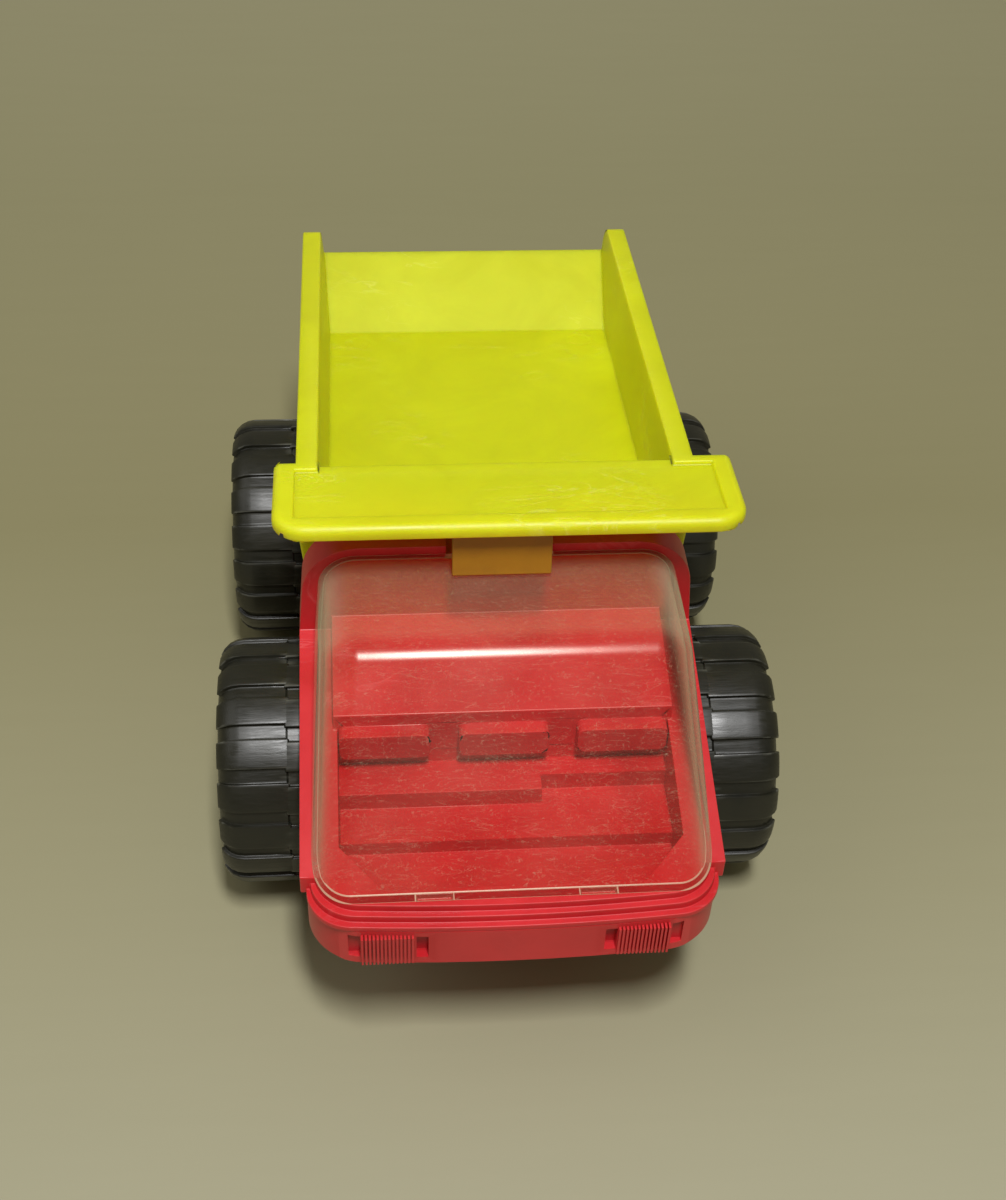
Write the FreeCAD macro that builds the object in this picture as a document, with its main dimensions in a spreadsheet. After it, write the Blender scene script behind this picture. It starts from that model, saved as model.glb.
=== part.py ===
import FreeCAD
import Part
import os
import Sketcher

# Toy dump truck, millimetres. Z is up and the cab faces -Y.
# The tyres stand on Z = 0 and the middle of the truck's length is at Y = 0.

V = FreeCAD.Vector
doc = FreeCAD.newDocument("dump_truck")

SIZES = [
    # wheels and axles
    ("wheel_radius", 28.0),
    ("track_half", 62.0),
    ("outer_shell", 15.5),
    ("inner_shell", 8.5),
    ("shoulder_drop", 5.0),
    ("shoulder_width", 5.0),
    ("tread_wall", 3.4),
    ("tread_depth", 0.9),
    ("tread_groove", 3.2),
    ("tread_count", 18),
    ("disc_wall", 2.0),
    ("disc_recess", 5.0),
    ("disc_radius", 18.5),
    ("hub_radius", 6.0),
    ("hub_recess", 3.4),
    ("shell_twist", 1.6),
    ("axle_dia", 3.0),
    ("front_axle_y", -36.25),
    ("wheelbase", 82.4),
    ("bearing_gap", 0.05),
    ("side_gap", 0.3),
    ("arch_gap", 2.0),
    ("sleeve_wall", 1.6),
    ("cap_radius", 4.0),
    ("cap_length", 2.6),
    # lower frame and bumper
    ("nose_reach", 63.0),
    ("bumper_set", 1.2),
    ("bumper_bow", 2.0),
    ("bumper_corner", 12.0),
    ("bumper_deep", 10.3),
    ("tyre_gap", 6.0),
    ("wheel_set", 4.0),
    ("frame_wall", 2.5),
    ("frame_drop", 7.0),
    ("frame_set", 21.3),
    ("frame_tail", 17.5),
    ("frame_over", 2.0),
    ("seat_drop", 11.0),
    ("deck_drop", 8.8),
    ("lamp_width", 11.3),
    ("lamp_set", 10.6),
    ("lamp_notch", 2.4),
    ("notch_depth", 1.6),
    ("rib_width", 0.42),
    ("rib_pitch", 0.78),
    ("rib_depth", 0.6),
    # cab tub
    ("cab_over", 5.4),
    ("core_gap", 0.8),
    ("core_wall", 1.8),
    ("core_lift", 0.3),
    ("ledge_side", 0.8),
    ("ledge_step", 1.4),
    ("ledge_low", 1.4),
    ("ledge_mid", 1.7),
    ("ledge_high", 1.7),
    ("knee_reach", 11.3),
    ("sill_rise", 18.0),
    ("bulkhead_set", 6.3),
    ("bulkhead_depth", 8.0),
    ("bulkhead_over", 2.0),
    ("bulkhead_taper", 2.0),
    ("bulkhead_corner", 13.0),
    ("floor_rise", 2.4),
    ("step_rise", 3.7),
    ("bench_rise", 2.0),
    ("step_deep", 13.4),
    ("bench_deep", 4.9),
    ("back_set", 25.5),
    ("shelf_rise", 20.0),
    ("bench_offset", 4.0),
    ("bench_split", 8.0),
    ("floor_wall", 2.0),
    ("back_rise", 14.0),
    ("back_depth", 1.0),
    ("pad_space", 6.1),
    ("pad_side", 0.2),
    ("pad_height", 7.0),
    ("pad_depth", 2.5),
    ("pad_lift", 4.0),
    ("pad_round", 1.6),
    ("boss_radius", 3.2),
    ("boss_x", 18.0),
    ("boss_set", 1.4),
    # clear dome
    ("dome_set", 1.7),
    ("dome_taper", 3.5),
    ("dome_wall", 1.3),
    ("roof_rise", 39.5),
    ("roof_length", 27.2),
    ("foot_set", 4.3),
    ("dome_corner", 8.5),
    ("dome_bend", 9.0),
    ("tab_inner", 13.0),
    ("tab_outer", 20.0),
    ("tab_drop", 1.2),
    ("tab_gap", 0.15),
    # dump body, in its own frame with the hinge rod at its origin
    ("hinge_set", 7.6),
    ("hinge_drop", 1.4),
    ("bed_lean", 5.7),
    ("bed_gap", 9.6),
    ("bed_rear", 25.7),
    ("rim_over", 12.4),
    ("rim_side", 8.8),
    ("rim_thick", 2.0),
    ("rim_flange", 6.3),
    ("bed_wall", 2.0),
    ("floor_gap", 8.3),
    ("wall_draft", 1.7),
    ("bed_crease", 4.2),
    ("ramp_drop", 7.5),
    ("rim_round", 5.0),
    ("canopy_reach", 22.8),
    ("canopy_over", 6.5),
    ("canopy_shift", 1.8),
    ("canopy_border", 4.5),
    ("canopy_recess", 1.0),
    ("canopy_skin", 1.4),
    ("canopy_corner", 7.0),
    ("lip_drop", 0.8),
    ("lip_wall", 1.8),
    ("skirt_gap", 0.8),
    ("skirt_side", 4.0),
    ("tongue_half", 10.5),
    ("tongue_lean", 0.5),
    ("tongue_back", 3.9),
    ("tongue_gap", 0.5),
    ("tongue_thick", 1.6),
    ("notch_gap", 0.8),
    ("notch_deep", 1.5),
    ("lug_gap", 1.0),
    ("lug_width", 4.0),
    ("lug_radius", 4.6),
    ("lug_foot", 8.0),
    ("rod_dia", 3.0),
    ("rod_cap_radius", 3.0),
    ("rod_cap_length", 2.0),
    ("screw_head", 2.6),
    ("screw_shank", 1.4),
    ("screw_length", 7.0),
    ("screw_head_high", 1.6),
]

sheet = doc.addObject("Spreadsheet::Sheet", "sizes")
size = {}
for row, (name, value) in enumerate(SIZES, start=1):
    sheet.set("A%d" % row, name)
    sheet.set("B%d" % row, str(value))
    sheet.setAlias("B%d" % row, name)
    size[name] = value
doc.recompute()

# Places that follow from the sizes, so that a changed size carries its neighbours along.
TIED = {
    "wheel_inner": "track_half - outer_shell - inner_shell",
    "frame_half": "wheel_inner - wheel_set",
    "cab_half": "wheel_inner + cab_over",
    "core_half": "wheel_inner - core_gap",
    "bumper_half": "cab_half - bumper_set",
    "dome_half": "cab_half - dome_set",
    "dome_top_half": "dome_half - dome_taper",
    "lamp_outer": "bumper_half - lamp_set",
    "lamp_inner": "lamp_outer - lamp_width",
    "pad_width": "(2 * (core_half - core_wall - pad_side - pad_space)) / 3",
    "pad_pitch": "pad_width + pad_space",
    "rim_half": "frame_half + rim_side",
    "bed_half": "rim_half - rim_flange",
    "skirt_half": "bed_half + skirt_side",
    "canopy_half": "rim_half + canopy_over",
    "lug_half": "frame_half - frame_wall - lug_gap",
    # along the truck
    "front_y": "front_axle_y - nose_reach",
    "frame_front": "front_y + frame_set",
    "sill_knee": "front_y + knee_reach",
    "screen_foot_y": "front_y + foot_set",
    "bumper_back": "front_axle_y - wheel_radius - tyre_gap",
    "bulkhead_y": "front_axle_y + bulkhead_set",
    "roof_front": "bulkhead_y - roof_length",
    "back_y": "bulkhead_y - back_set",
    "bench_end": "back_y - bench_deep",
    "floor_end": "bench_end - step_deep",
    "boss_y": "back_y - boss_set",
    "frame_rear": "front_axle_y + wheelbase + frame_tail",
    "hinge_y": "frame_rear + hinge_set",
    # heights
    "frame_low": "wheel_radius - frame_drop",
    "frame_top": "2 * wheel_radius + frame_over",
    "cab_seat": "2 * wheel_radius - seat_drop",
    "cab_deck": "cab_seat - deck_drop",
    "core_low": "cab_deck + core_lift",
    "bumper_low": "cab_seat - bumper_deep",
    "floor_high": "cab_deck + floor_rise",
    "step_high": "floor_high + step_rise",
    "bench_high": "cab_seat + bench_rise",
    "back_high": "bench_high + back_rise",
    "shelf_high": "bench_high + shelf_rise",
    "sill_rear": "cab_seat + sill_rise",
    "roof_high": "cab_seat + roof_rise",
    "bulkhead_top": "roof_high + bulkhead_over",
    "notch_low": "roof_high - notch_deep",
    "hinge_z": "frame_top - hinge_drop",
    # in the dump body's own frame, which leans about the hinge rod
    "lean_sin": "sin(bed_lean * 1 deg)",
    "lean_cos": "cos(bed_lean * 1 deg)",
    "bed_front": "bulkhead_y + bed_gap - hinge_y",
    "rim_high": "(bulkhead_top + rim_over - hinge_z - (hinge_y - bulkhead_y) * lean_sin)"
                " / lean_cos",
    "bed_floor": "frame_top - hinge_z + floor_gap + bed_wall",
    "ramp_high": "rim_high - ramp_drop",
    "skirt_low": "(frame_top + skirt_gap - hinge_z + bed_front * lean_sin) / lean_cos",
    "tongue_low": "(roof_high + tongue_gap - hinge_z + (bed_front - canopy_reach) * lean_sin)"
                  " / lean_cos",
}


def bound(text):
    """An expression of sheet names, with the sheet's own name before each."""
    out = ""
    word = ""
    for letter in text + " ":
        if letter.isalnum() or letter in "_.":
            word += letter
            continue
        if word in TIED:
            out += "(" + bound(TIED[word]) + ")"
        else:
            out += ("sizes." + word) if word in size else word
        out += letter
        word = ""
    return out.strip()


probe = doc.addObject("App::FeaturePython", "probe")
probe.addProperty("App::PropertyFloat", "Result")


def number(text):
    """The same expression as a number, for first guesses and for finding edges."""
    probe.setExpression("Result", bound(text))
    probe.recompute()
    return probe.Result


def bind(thing, prop, text):
    thing.setExpression(prop, bound(text))


def new_body(label):
    body = doc.addObject("PartDesign::Body", label)
    body.Label = label
    return body


def origin_plane(body, role):
    return [f for f in body.Origin.OriginFeatures if f.Role == role][0]


def new_sketch(body, name, role, offset=None):
    sketch = body.newObject("Sketcher::SketchObject", body.Name + "_" + name)
    sketch.AttachmentSupport = (origin_plane(body, role), [""])
    sketch.MapMode = "FlatFace"
    if offset:
        bind(sketch, "AttachmentOffset.Base.z", offset)
    return sketch


def polygon(body, name, role, points, offset=None):
    """A closed outline whose every corner is tied to the sheet."""
    sketch = new_sketch(body, name, role, offset)
    spots = [V(number(px), number(py), 0) for px, py in points]
    count = len(spots)
    for i in range(count):
        sketch.addGeometry(Part.LineSegment(spots[i], spots[(i + 1) % count]))
    for i in range(count):
        sketch.addConstraint(Sketcher.Constraint("Coincident", i, 2, (i + 1) % count, 1))
    for i, (px, py) in enumerate(points):
        for axis, text, value in (("X", px, spots[i].x), ("Y", py, spots[i].y)):
            row = sketch.addConstraint(
                Sketcher.Constraint("Distance" + axis, -1, 1, i, 1, value))
            sketch.renameConstraint(row, "p%s%d" % (axis.lower(), i))
            bind(sketch, "Constraints.p%s%d" % (axis.lower(), i), text)
    return sketch


def circle(body, name, role, centre, radius, offset=None):
    sketch = new_sketch(body, name, role, offset)
    spot = V(number(centre[0]), number(centre[1]), 0)
    sketch.addGeometry(Part.Circle(spot, V(0, 0, 1), number(radius)))
    for axis, text, value in (("X", centre[0], spot.x), ("Y", centre[1], spot.y)):
        row = sketch.addConstraint(
            Sketcher.Constraint("Distance" + axis, -1, 1, 0, 3, value))
        sketch.renameConstraint(row, "c" + axis.lower())
        bind(sketch, "Constraints.c" + axis.lower(), text)
    row = sketch.addConstraint(Sketcher.Constraint("Radius", 0, number(radius)))
    sketch.renameConstraint(row, "radius")
    bind(sketch, "Constraints.radius", radius)
    return sketch


def bowed(body, name, inset, nose_inset, back, offset):
    """A plan outline with a bowed front, set in at its sides and at its nose."""
    sketch = new_sketch(body, name, "XY_Plane", offset)
    wide = number("bumper_half - " + inset)
    rear = number(back)
    nose = number("front_y + " + nose_inset)
    bow = number("bumper_bow")
    radius = (wide * wide + bow * bow) / (2 * bow)
    left, right = V(-wide, nose + bow, 0), V(wide, nose + bow, 0)
    arc = Part.Arc(left, V(0, nose, 0), right)
    sketch.addGeometry(Part.LineSegment(V(-wide, rear, 0), left))
    sketch.addGeometry(Part.LineSegment(right, V(wide, rear, 0)))
    sketch.addGeometry(Part.LineSegment(V(wide, rear, 0), V(-wide, rear, 0)))
    sketch.addGeometry(arc)
    start = 1 if (sketch.Geometry[3].StartPoint - left).Length < 0.01 else 2
    sketch.addConstraint(Sketcher.Constraint("Coincident", 0, 2, 3, start))
    sketch.addConstraint(Sketcher.Constraint("Coincident", 3, 3 - start, 1, 1))
    sketch.addConstraint(Sketcher.Constraint("Coincident", 1, 2, 2, 1))
    sketch.addConstraint(Sketcher.Constraint("Coincident", 2, 2, 0, 1))
    half = "(bumper_half - %s)" % inset
    ties = [
        ("DistanceX", 0, 1, "-" + half, -wide),
        ("DistanceX", 0, 2, "-" + half, -wide),
        ("DistanceX", 1, 1, half, wide),
        ("DistanceX", 1, 2, half, wide),
        ("DistanceY", 0, 1, back, rear),
        ("DistanceY", 1, 2, back, rear),
        ("DistanceY", 0, 2, "front_y + bumper_bow + " + nose_inset, nose + bow),
        ("DistanceY", 1, 1, "front_y + bumper_bow + " + nose_inset, nose + bow),
    ]
    for i, (kind, line, end, text, value) in enumerate(ties):
        row = sketch.addConstraint(Sketcher.Constraint(kind, -1, 1, line, end, value))
        sketch.renameConstraint(row, "tie%d" % i)
        bind(sketch, "Constraints.tie%d" % i, text)
    row = sketch.addConstraint(Sketcher.Constraint("Radius", 3, radius))
    sketch.renameConstraint(row, "bow")
    bind(sketch, "Constraints.bow", "(%s * %s + bumper_bow * bumper_bow) / (2 * bumper_bow)"
         % (half, half))
    return sketch


def extrude(body, kind, name, sketch, length, both=False, back=False):
    feature = body.newObject("PartDesign::" + kind, body.Name + "_" + name)
    feature.Profile = sketch
    bind(feature, "Length", length)
    if both:
        feature.SideType = "Symmetric"
    feature.Reversed = back
    before = body.Shape.Volume if kind == "Pocket" else 0.0
    body.Tip = feature
    doc.recompute()
    if kind == "Pocket" and not body.Shape.Volume < before - 1e-6:
        raise RuntimeError(feature.Name + " cuts nothing")
    return feature


def pad(body, name, sketch, length, both=False, back=False):
    return extrude(body, "Pad", name, sketch, length, both, back)


def pocket(body, name, sketch, length, both=False, back=False):
    return extrude(body, "Pocket", name, sketch, length, both, back)


def fillet(body, name, radius, wanted):
    """Round the edges of the body that a test on their middle picks."""
    doc.recompute()
    base = body.Tip
    names = []
    for i, edge in enumerate(base.Shape.Edges):
        middle = edge.valueAt((edge.FirstParameter + edge.LastParameter) / 2)
        if wanted(edge, middle):
            names.append("Edge%d" % (i + 1))
    if not names:
        raise RuntimeError(body.Label + " has no edge for " + name)
    feature = body.newObject("PartDesign::Fillet", body.Name + "_" + name)
    feature.Base = (base, names)
    bind(feature, "Radius", radius)
    body.Tip = feature
    doc.recompute()
    return feature


def near(a, b, gap=0.05):
    return abs(a - b) < gap


def along(edge, axis):
    start, end = edge.Vertexes[0].Point, edge.Vertexes[-1].Point
    run = end - start
    return run.Length > 0.1 and abs(abs(run.normalize().dot(axis)) - 1) < 1e-3


def tube(label, outer, bore, length, x_start):
    """A plain sleeve along X, cut from two cylinders."""
    skin = doc.addObject("Part::Cylinder", label + "_skin")
    hole = doc.addObject("Part::Cylinder", label + "_hole")
    bind(skin, "Radius", outer)
    bind(hole, "Radius", bore)
    bind(skin, "Height", length)
    bind(hole, "Height", "3 * (" + length + ")")
    bind(hole, "Placement.Base.z", "-(" + length + ")")
    cut = doc.addObject("Part::Cut", label)
    cut.Base = skin
    cut.Tool = hole
    cut.Label = label
    cut.Placement = FreeCAD.Placement(V(0, 0, 0), FreeCAD.Rotation(V(0, 1, 0), 90))
    bind(cut, "Placement.Base.x", x_start)
    return cut


nodes = []

# Lower frame: an inverted channel that steps up behind the cab, with the bumper in front.
frame = new_body("chassis")
nodes.append(frame)
side = [
    ("frame_front", "frame_low + 6"),
    ("frame_front", "cab_deck"),
    ("bulkhead_y + bulkhead_depth + 0.4", "cab_deck"),
    ("bulkhead_y + bulkhead_depth + 0.4", "frame_top"),
    ("frame_rear", "frame_top"),
    ("hinge_y + lug_radius", "hinge_z + lug_radius"),
    ("hinge_y + lug_radius", "hinge_z - lug_radius"),
    ("frame_rear + 2", "frame_low + 8"),
    ("front_axle_y + wheelbase + 8", "frame_low"),
    ("front_axle_y - 10", "frame_low"),
]
pad(frame, "rails", polygon(frame, "side", "YZ_Plane", side), "2 * frame_half", both=True)
hollow = [
    ("frame_front + frame_wall", "frame_low - 5"),
    ("frame_front + frame_wall", "cab_deck - frame_wall"),
    ("bulkhead_y + bulkhead_depth + 0.4 + frame_wall", "cab_deck - frame_wall"),
    ("bulkhead_y + bulkhead_depth + 0.4 + frame_wall", "frame_top - frame_wall"),
    ("frame_rear - frame_wall", "frame_top - frame_wall"),
    ("frame_rear - frame_wall", "frame_low - 5"),
]
pocket(frame, "channel", polygon(frame, "inside", "YZ_Plane", hollow),
       "2 * (frame_half - frame_wall)", both=True)
tail = [
    ("frame_rear", "frame_low - 5"),
    ("frame_rear", "frame_top + 20"),
    ("hinge_y + 30", "frame_top + 20"),
    ("hinge_y + 30", "frame_low - 5"),
]
pocket(frame, "tail_gap", polygon(frame, "tail", "YZ_Plane", tail),
       "2 * (frame_half - frame_wall)", both=True)
pad(frame, "bumper", bowed(frame, "bumper_plan", "0", "0", "bumper_back", "bumper_low"),
    "cab_seat - bumper_low")
fillet(frame, "bumper_corners", "bumper_corner",
       lambda e, m: along(e, V(0, 0, 1)) and near(abs(m.x), number("bumper_half"))
       and near(m.y, number("front_y + bumper_bow")))
cave = [
    ("-(bumper_half - frame_wall)", "bumper_back + 1"),
    ("-(bumper_half - frame_wall)", "front_y + bumper_corner"),
    ("-(bumper_half - bumper_corner)", "front_y + bumper_bow + frame_wall"),
    ("bumper_half - bumper_corner", "front_y + bumper_bow + frame_wall"),
    ("bumper_half - frame_wall", "front_y + bumper_corner"),
    ("bumper_half - frame_wall", "bumper_back + 1"),
]
pocket(frame, "bumper_tray", polygon(frame, "cave", "XY_Plane", cave, "cab_deck"),
       "cab_seat - cab_deck + 1", back=True)

# Recesses beside each lamp, then the ribs of the lamps.
notches = (
    ("notch_in_r", "lamp_inner - lamp_notch", "lamp_inner"),
    ("notch_out_r", "lamp_outer", "lamp_outer + lamp_notch"),
    ("notch_in_l", "-lamp_inner", "-lamp_inner + lamp_notch"),
    ("notch_out_l", "-lamp_outer - lamp_notch", "-lamp_outer"),
)
for name, x_low, x_high in notches:
    face = polygon(frame, name, "XY_Plane", [
        (x_low, "front_y - 2"),
        (x_high, "front_y - 2"),
        (x_high, "front_y + bumper_bow / 2 + notch_depth"),
        (x_low, "front_y + bumper_bow / 2 + notch_depth"),
    ], "bumper_low + 2")
    pocket(frame, name + "_cut", face, "cab_seat - bumper_low - 3.5", back=True)
for name, sign in (("lamp_l", "-"), ("lamp_r", "")):
    end = "lamp_outer" if sign else "lamp_inner"
    first = "(%s%s + rib_pitch / 4)" % (sign, end)
    face = polygon(frame, name, "XY_Plane", [
        (first, "front_y - rib_depth / 2"),
        (first + " + rib_width", "front_y - rib_depth / 2"),
        (first + " + rib_width", "front_y + bumper_bow + 1"),
        (first, "front_y + bumper_bow + 1"),
    ], "bumper_low + 1")
    rib = pad(frame, name + "_rib", face, "cab_seat - bumper_low - 2")
    row = frame.newObject("PartDesign::LinearPattern", name + "_ribs")
    row.Originals = [rib]
    row.Direction = ([f for f in frame.Origin.OriginFeatures if f.Role == "X_Axis"][0], [""])
    bind(row, "Length", "floor((lamp_outer - lamp_inner) / rib_pitch - 1) * rib_pitch")
    bind(row, "Occurrences", "floor((lamp_outer - lamp_inner) / rib_pitch)")
    frame.Tip = row
    doc.recompute()

# Bearing holes of both axles and of the hinge rod.
holes = (
    ("front_bearing", "front_axle_y", "wheel_radius", "axle_dia / 2 + bearing_gap"),
    ("rear_bearing", "front_axle_y + wheelbase", "wheel_radius", "axle_dia / 2 + bearing_gap"),
    ("rod_bearing", "hinge_y", "hinge_z", "rod_dia / 2"),
)
for name, hole_y, hole_z, radius in holes:
    ring = circle(frame, name, "YZ_Plane", (hole_y, hole_z), radius)
    pocket(frame, name + "_bore", ring, "4 * frame_half", both=True)
for name, sign in (("screw_l", "-"), ("screw_r", "")):
    ring = circle(frame, name, "XY_Plane", (sign + "boss_x", "boss_y"), "screw_shank",
                  "cab_deck - 2 * frame_wall")
    pocket(frame, name + "_hole", ring, "4 * frame_wall", back=True)

# Cab tub: stepped ledge in front, sloping sills, seats, and a rounded bulkhead behind.
tub = new_body("cab_tub")
nodes.append(tub)
ledge_top = "(cab_seat + ledge_low + ledge_mid + ledge_high)"
layers = (
    ("flash", "0", "0", "cab_seat", "ledge_low"),
    ("middle", "ledge_side", "ledge_step", "cab_seat + ledge_low", "ledge_mid"),
    ("upper", "2 * ledge_side", "2 * ledge_step", "cab_seat + ledge_low + ledge_mid",
     "ledge_high"),
)
for name, side_inset, nose_inset, low, high in layers:
    plan = bowed(tub, name + "_plan", side_inset, nose_inset, "bumper_back", low)
    pad(tub, name, plan, high)
fillet(tub, "ledge_corners", "bumper_corner - 3 * ledge_side",
       lambda e, m: along(e, V(0, 0, 1)) and abs(m.x) > number("bumper_half - 3 * ledge_side")
       and m.y < number("front_y + bumper_bow + 3 * ledge_step"))
sill = [
    ("sill_knee", "cab_seat"),
    ("sill_knee", ledge_top),
    ("bulkhead_y", "sill_rear"),
    ("bulkhead_y", "cab_seat"),
]
pad(tub, "sides", polygon(tub, "sill", "YZ_Plane", sill), "2 * cab_half", both=True)
bow_top = "(cab_half - bulkhead_taper)"
wall = [
    ("-cab_half", "cab_seat"),
    ("-cab_half", "sill_rear"),
    ("-" + bow_top, "bulkhead_top"),
    (bow_top, "bulkhead_top"),
    ("cab_half", "sill_rear"),
    ("cab_half", "cab_seat"),
]
pad(tub, "bulkhead", polygon(tub, "bulk", "XZ_Plane", wall, "-bulkhead_y"),
    "bulkhead_depth", back=True)
fillet(tub, "bulkhead_corners", "bulkhead_corner",
       lambda e, m: along(e, V(0, 1, 0)) and near(m.z, number("bulkhead_top")))
nose = "(front_y + bumper_bow + 2 * ledge_step + 3)"
inside_half = "(core_half - core_wall)"
core = [
    ("-core_half", "bulkhead_y"),
    ("-core_half", nose + " + 9"),
    ("-(core_half - 8)", nose + " - 1.6"),
    ("core_half - 8", nose + " - 1.6"),
    ("core_half", nose + " + 9"),
    ("core_half", "bulkhead_y"),
]
pad(tub, "core_block", polygon(tub, "core", "XY_Plane", core, "core_low"),
    "cab_seat + ledge_low - core_low")
well = [
    ("-" + inside_half, "bulkhead_y"),
    ("-" + inside_half, nose + " + 10"),
    ("-(%s - 9)" % inside_half, nose),
    ("%s - 9" % inside_half, nose),
    (inside_half, nose + " + 10"),
    (inside_half, "bulkhead_y"),
]
pocket(tub, "well_cut", polygon(tub, "well", "XY_Plane", well, "core_low - 1"),
       "sill_rear - core_low + 10", back=True)
steps = [
    (nose + " - 0.5", "floor_high"),
    ("floor_end", "floor_high"),
    ("floor_end", "step_high"),
    ("bench_end", "step_high"),
    ("bench_end", "bench_high"),
    ("back_y", "bench_high"),
    ("back_y + back_depth", "back_high"),
    ("bulkhead_y", "shelf_high"),
    ("bulkhead_y", "shelf_high - floor_wall"),
    ("back_y + back_depth + floor_wall", "back_high - floor_wall"),
    ("back_y + floor_wall", "bench_high - floor_wall"),
    ("bench_end + floor_wall", "bench_high - floor_wall"),
    ("bench_end + floor_wall", "step_high - floor_wall"),
    ("floor_end + floor_wall", "step_high - floor_wall"),
    ("floor_end + floor_wall", "floor_high - floor_wall"),
    (nose + " - 0.5", "floor_high - floor_wall"),
]
pad(tub, "steps", polygon(tub, "step_line", "YZ_Plane", steps),
    "2 * (core_half - core_wall / 2)", both=True)
for sign, name in (("", "r"), ("-", "l")):
    trim = [
        (sign + "(core_half - 8)", nose + " - 1.6"),
        (sign + "(core_half - 8)", nose + " - 4"),
        (sign + "(core_half + 2)", nose + " - 4"),
        (sign + "(core_half + 2)", nose + " + 9"),
        (sign + "core_half", nose + " + 9"),
    ]
    pocket(tub, "trim_" + name, polygon(tub, "trim_line_" + name, "XY_Plane", trim,
                                        "core_low - 1"),
           "cab_seat - core_low + 0.5", back=True)
deep = [
    ("-" + inside_half, "bench_end - bench_offset"),
    ("bench_split", "bench_end - bench_offset"),
    ("bench_split", "bench_end"),
    ("-" + inside_half, "bench_end"),
]
pad(tub, "deep_bench", polygon(tub, "deep", "XY_Plane", deep, "step_high"),
    "bench_high - step_high")
pads = (("pad_l", "-pad_pitch"), ("pad_c", "0"), ("pad_r", "pad_pitch"))
for name, middle in pads:
    face = polygon(tub, name, "XZ_Plane", [
        (middle + " - pad_width / 2", "bench_high + pad_lift"),
        (middle + " + pad_width / 2", "bench_high + pad_lift"),
        (middle + " + pad_width / 2", "bench_high + pad_lift + pad_height"),
        (middle + " - pad_width / 2", "bench_high + pad_lift + pad_height"),
    ], "-back_y - back_depth")
    pad(tub, name + "_block", face, "pad_depth + back_depth")
fillet(tub, "pad_round_edges", "pad_round",
       lambda e, m: along(e, V(0, 1, 0)) and m.y < number("back_y")
       and m.y > number("back_y - pad_depth") and m.z > number("bench_high + pad_lift - 1")
       and m.z < number("bench_high + pad_lift + pad_height + 1"))
for name, sign in (("l", "-"), ("r", "")):
    post = circle(tub, "boss_" + name, "XY_Plane", (sign + "boss_x", "boss_y"),
                  "boss_radius", "cab_deck")
    pad(tub, "post_" + name, post, "bench_high - floor_wall / 2 - cab_deck")
    ring = circle(tub, "thread_" + name, "XY_Plane", (sign + "boss_x", "boss_y"),
                  "screw_shank", "cab_deck - 1")
    pocket(tub, "thread_cut_" + name, ring, "screw_length + 1", back=True)
    arch = circle(tub, "arch_" + name, "YZ_Plane", ("front_axle_y", "wheel_radius"),
                  "wheel_radius + arch_gap",
                  sign + "core_half")
    pocket(tub, "arch_cut_" + name, arch, "2 * cab_half", back=(name == "r"))
    hole_x = ("-tab_outer - tab_gap", "-tab_inner + tab_gap") if sign else (
        "tab_inner - tab_gap", "tab_outer + tab_gap")
    slot = polygon(tub, "slot_" + name, "XY_Plane", [
        (hole_x[0], "screen_foot_y + 0.4 - tab_gap"),
        (hole_x[1], "screen_foot_y + 0.4 - tab_gap"),
        (hole_x[1], "screen_foot_y + 0.4 + dome_wall + tab_gap"),
        (hole_x[0], "screen_foot_y + 0.4 + dome_wall + tab_gap"),
    ], ledge_top)
    pocket(tub, "slot_cut_" + name, slot, "tab_drop + tab_gap")
hollow = [
    ("-(cab_half - bulkhead_taper - 2)", "cab_seat - 1"),
    ("-(cab_half - bulkhead_taper - 2)", "bulkhead_top - bulkhead_corner"),
    ("-(cab_half - bulkhead_corner + 3)", "bulkhead_top - notch_gap - 5"),
    ("cab_half - bulkhead_corner + 3", "bulkhead_top - notch_gap - 5"),
    ("cab_half - bulkhead_taper - 2", "bulkhead_top - bulkhead_corner"),
    ("cab_half - bulkhead_taper - 2", "cab_seat - 1"),
]
pocket(tub, "bulk_hollow", polygon(tub, "hollow", "XZ_Plane", hollow,
                                   "-bulkhead_y - bulkhead_depth"),
       "bulkhead_depth - 2.4", back=True)
notch = [
    ("-tongue_half - notch_gap", "notch_low"),
    ("-tongue_half - notch_gap", "bulkhead_top + 1"),
    ("tongue_half + notch_gap", "bulkhead_top + 1"),
    ("tongue_half + notch_gap", "notch_low"),
]
pocket(tub, "notch_cut", polygon(tub, "notch", "XZ_Plane", notch, "-bulkhead_y + 1"),
       "bulkhead_depth + 2")

# Clear dome: roof, raked screen and drafted side windows, an outer block less its core.
def sill_at(spot_y):
    """Height of the sill that the dome stands on, at one place along the cab."""
    knee, low = number("sill_knee"), number(ledge_top)
    if spot_y < knee:
        return low
    return low + (number("sill_rear") - low) * (spot_y - knee) / (number("bulkhead_y") - knee)


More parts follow.
